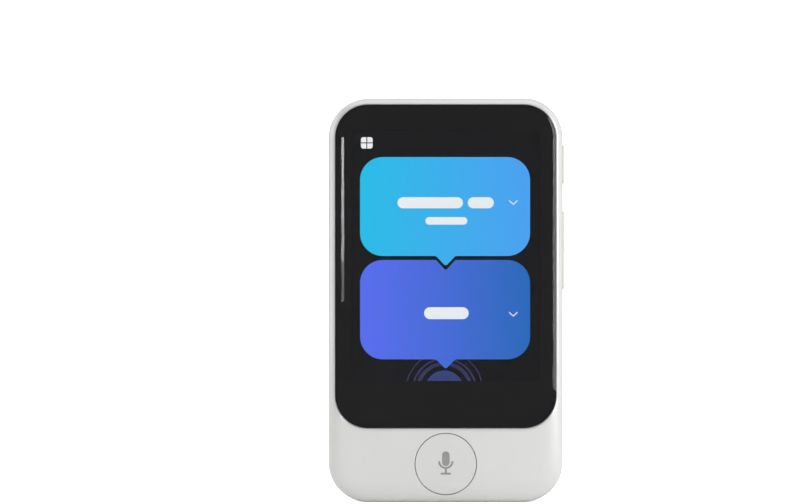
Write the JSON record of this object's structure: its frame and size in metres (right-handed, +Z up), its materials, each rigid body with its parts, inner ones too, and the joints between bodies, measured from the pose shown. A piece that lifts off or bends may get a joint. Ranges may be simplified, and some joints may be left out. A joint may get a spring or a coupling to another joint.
{
  "type": "handheld translator",
  "caption": "Pocket translator: a white pebble-shaped slab with a glass front, a round talk button, side keys, a card tray, and a camera and lamp on the back.",
  "frame": {"origin": "middle of the body's flat bottom edge, on the surface that it stands on", "axes": "+Z up along the body, +Y out of the back, -Y out of the glass front, +X towards the side keys"},
  "size_m": [0.0537, 0.0116, 0.0916],
  "materials": {
    "shell_white": "satin moulded plastic, off-white",
    "button_white": "smooth moulded plastic, off-white",
    "trim_bright": "fine bright edge",
    "cover_glass": "polished, black printed border",
    "touch_film": "clear film",
    "display_glass": "dark display cell",
    "light_guide": "milky light guide in a frame",
    "black_glue": "black foam tape",
    "clear_tape": "pale stretch tape",
    "flex_amber": "amber film cable",
    "chassis_metal": "stamped and blasted",
    "steel": "plain steel",
    "black_steel": "black",
    "symbol_grey": "translucent grey window",
    "soft_rubber": "soft black rubber",
    "board_green": "green solder mask",
    "chip_black": "moulded chips",
    "socket_black": "moulded sockets",
    "lamp_cream": "lamp chips",
    "battery_foil": "laminated pouch with a dark sleeve",
    "tray_white": "painted to match the shell",
    "card_white": "plain card",
    "lens_glass": "coated lens, violet sheen",
    "window_black": "clear in the middle, black towards its rim",
    "lamp_lens": "clear ribbed lens",
    "barrel_black": "matt black barrel",
    "tongue_black": "moulded tongue",
    "gold": "gold plated",
    "speaker_black": "moulded box",
    "cone_grey": "thin film",
    "mesh_black": "fine acoustic cloth",
    "carrier_grey": "moulded"
  },
  "bodies": {
    "housing": {"front_housing": "shell_white", "rear_cover": "shell_white", "glass_trim_ring": "trim_bright", "cover_glass": "cover_glass", "touch_sensor": "touch_film", "lcd_panel": "display_glass", "backlight_unit": "light_guide", "glass_adhesive": "black_glue", "battery_tape": "clear_tape", "display_flex": "flex_amber", "mid_frame": "chassis_metal", "chassis_screws": "steel", "board_screws": "steel", "translate_dome": "steel", "button_board": "board_green", "button_lamps": "lamp_cream", "side_key_domes": "steel", "side_key_flex": "flex_amber", "side_key_bracket": "steel", "sim_reader": "steel", "sim_lever_pin": "steel", "main_board": "board_green", "board_chips": "chip_black", "processor_shield": "steel", "power_shield": "steel", "radio_shield": "steel", "board_connectors": "socket_black", "camera_module": "black_steel", "camera_gasket": "soft_rubber", "camera_ring": "trim_bright", "camera_window": "window_black", "camera_flex": "flex_amber", "flash_led": "lamp_cream", "flash_lens": "lamp_lens", "battery": "battery_foil", "battery_lead": "flex_amber", "interconnect_flex": "flex_amber", "low_board": "board_green", "usb_shell": "steel", "usb_tongue": "tongue_black", "usb_contacts": "gold", "rubber_seals": "soft_rubber", "loudspeakers": "speaker_black", "speaker_cones": "cone_grey", "speaker_meshes": "mesh_black", "microphones": "steel", "antenna_carrier": "carrier_grey", "antenna_trace": "gold"},
    "talk_button": {"translate_button": "button_white", "button_symbol": "symbol_grey", "button_pad": "soft_rubber"},
    "power_button": {"power_key": "shell_white"},
    "volume_rocker": {"volume_key": "shell_white"},
    "card_tray": {"sim_tray": "tray_white", "sim_card": "card_white", "sim_tray_seal": "soft_rubber"},
    "eject_rod": {"sim_eject_rod": "steel"},
    "eject_lever": {"sim_eject_lever": "steel"},
    "focus_barrel": {"camera_lens_barrel": "barrel_black", "front_lens_element": "lens_glass"}
  },
  "joints": [
    {"name": "talk_press", "type": "slide", "parent": "housing", "child": "talk_button", "axis": [0, 1, 0], "range_m": [0, 0.0003], "stiffness_N_per_m": 2000, "springref_m": -0.0004, "deforming": ["translate_dome"]},
    {"name": "power_press", "type": "slide", "parent": "housing", "child": "power_button", "axis": [-1, 0, 0], "range_m": [0, 0.00025], "stiffness_N_per_m": 2000, "springref_m": -0.0004, "deforming": ["side_key_domes"]},
    {"name": "volume_rock", "type": "hinge", "parent": "housing", "child": "volume_rocker", "pos_m": [0.025, -0.0007, 0.05715], "axis": [0, 1, 0], "range_deg": [-1.6, 1.6], "stiffness_Nm_per_rad": 0.3, "deforming": ["side_key_domes"]},
    {"name": "tray_slide", "type": "slide", "parent": "housing", "child": "card_tray", "axis": [-1, 0, 0], "range_m": [0, 0.0145]},
    {"name": "eject_push", "type": "slide", "parent": "housing", "child": "eject_rod", "axis": [1, 0, 0], "range_m": [0, 0.0005]},
    {"name": "eject_turn", "type": "hinge", "parent": "housing", "child": "eject_lever", "pos_m": [-0.0084, -0.0007, 0.07], "axis": [0, -1, 0], "range_deg": [0, 10]},
    {"name": "lens_focus", "type": "slide", "parent": "housing", "child": "focus_barrel", "axis": [0, 1, 0], "range_m": [0, 0.00025], "stiffness_N_per_m": 100, "springref_m": -0.00002}
  ],
  "couplings": [
    {"joint": "eject_turn", "follows": "eject_push", "rad_per_m": 344.83}
  ]
}
